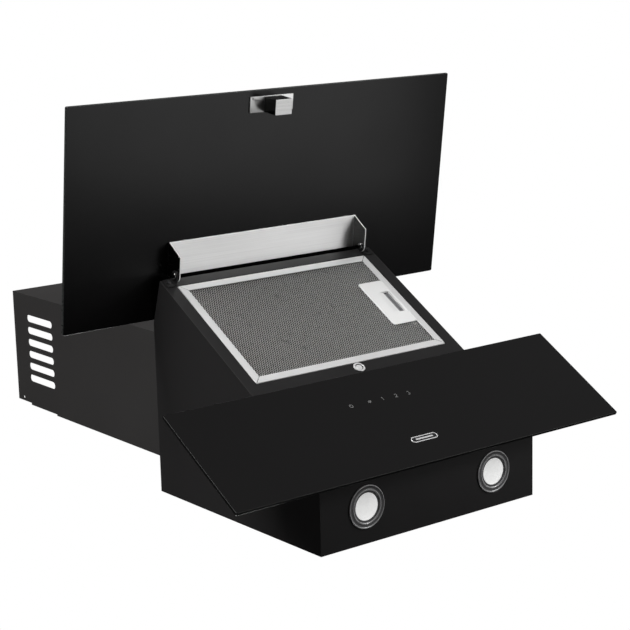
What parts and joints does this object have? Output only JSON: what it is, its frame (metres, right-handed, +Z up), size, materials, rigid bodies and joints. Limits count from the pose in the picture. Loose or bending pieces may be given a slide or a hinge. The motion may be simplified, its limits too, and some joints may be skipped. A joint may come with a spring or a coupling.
{
  "type": "angled wall cooker hood",
  "caption": "Angled wall-mounted cooker hood with a hinged black glass flap, touch-key glass, grease filter, blower, two lamps and a slotted duct cover.",
  "frame": {"origin": "centre of the four wall-screw holes, on the wall plane", "axes": "+Z up the wall, +Y into the wall, +X to the right of a person facing the hood"},
  "size_m": [0.6, 0.5057, 0.8749],
  "materials": {
    "black_sheet": "satin black powder coat",
    "back_steel": "galvanised sheet",
    "black_glass": "polished black tempered glass",
    "brushed": "brushed stainless",
    "zinc": "bright zinc plate",
    "bright": "polished",
    "filter_alu": "satin anodised",
    "mesh_alu": "expanded mesh",
    "white_plastic": "moulded white",
    "black_plastic": "moulded black",
    "grey_plastic": "moulded grey",
    "lens": "frosted diffuser",
    "lamp_ring": "polished ring",
    "heatsink": "die-cast",
    "foam": "double-sided foam tape",
    "pcb": "solder mask",
    "motor_steel": "laminations and pressed steel"
  },
  "bodies": {
    "hood": {"body_wrap": "black_sheet", "front_panel": "black_sheet", "top_plate": "black_sheet", "duct_cover": "black_sheet", "hinge_ears": "black_sheet", "back_plate": "back_steel", "body_screws": "zinc", "cover_screws": "zinc", "collar_screws": "zinc", "blower_screws": "zinc", "motor_screws": "zinc", "hinge_screws": "zinc", "touch_glass": "black_glass", "glass_tape": "foam", "sensor_tray": "black_plastic", "sensor_board": "pcb", "sensor_springs": "zinc", "badge_plate": "bright", "lamp_bezels": "lamp_ring", "lamp_lenses": "lens", "lamp_heatsinks": "heatsink", "lamp_clips": "zinc", "scroll_rear": "black_plastic", "scroll_front": "black_plastic", "inlet_guard": "black_plastic", "motor_plate": "motor_steel", "motor_can": "motor_steel", "motor_bearings": "brushed", "motor_stator": "motor_steel", "outlet_adapter": "black_plastic", "duct_collar": "black_plastic", "damper_pin": "zinc", "control_box": "grey_plastic", "control_box_lid": "grey_plastic", "power_board": "pcb", "motor_capacitor": "grey_plastic", "lamp_driver": "grey_plastic", "cable_gland": "black_plastic", "hinge_pins": "bright", "magnet_cup": "bright", "catch_magnet": "bright"},
    "flap": {"flap_glass": "black_glass", "bracket_tape": "foam", "hinge_bracket": "brushed", "catch_plate": "brushed", "catch_striker": "brushed", "hinge_washers": "white_plastic"},
    "filter": {"filter_frame": "filter_alu", "filter_mesh_front": "mesh_alu", "filter_core": "mesh_alu", "filter_mesh_back": "mesh_alu", "filter_pull_plate": "white_plastic", "latch_spring": "zinc"},
    "latch": {"filter_latch": "white_plastic"},
    "rotor": {"impeller": "grey_plastic", "impeller_nut": "zinc", "motor_shaft": "brushed", "motor_rotor": "motor_steel"},
    "flap_front": {"damper_front": "black_plastic"},
    "flap_rear": {"damper_rear": "black_plastic"}
  },
  "joints": [
    {"name": "flap_hinge", "type": "hinge", "parent": "hood", "child": "flap", "pos_m": [0, -0.28306, 0.11575], "axis": [-1, 0, 0], "range_deg": [-112.6, 0]},
    {"name": "filter_lift", "type": "slide", "parent": "hood", "child": "filter", "axis": [0, -0.8619, -0.507], "range_m": [0, 0.08]},
    {"name": "latch_slide", "type": "slide", "parent": "filter", "child": "latch", "axis": [-1, 0, 0], "range_m": [0, 0.004], "stiffness_N_per_m": 600, "springref_m": -0.004, "deforming": ["latch_spring"]},
    {"name": "impeller_spin", "type": "hinge", "parent": "hood", "child": "rotor", "pos_m": [0.0385, -0.06, -0.04], "axis": [0, 1, 0], "continuous": true},
    {"name": "damper_front_swing", "type": "hinge", "parent": "hood", "child": "flap_front", "pos_m": [0, -0.09, 0.1515], "axis": [-1, 0, 0], "range_deg": [0, 78]},
    {"name": "damper_rear_swing", "type": "hinge", "parent": "hood", "child": "flap_rear", "pos_m": [0, -0.09, 0.1515], "axis": [1, 0, 0], "range_deg": [0, 78]}
  ]
}
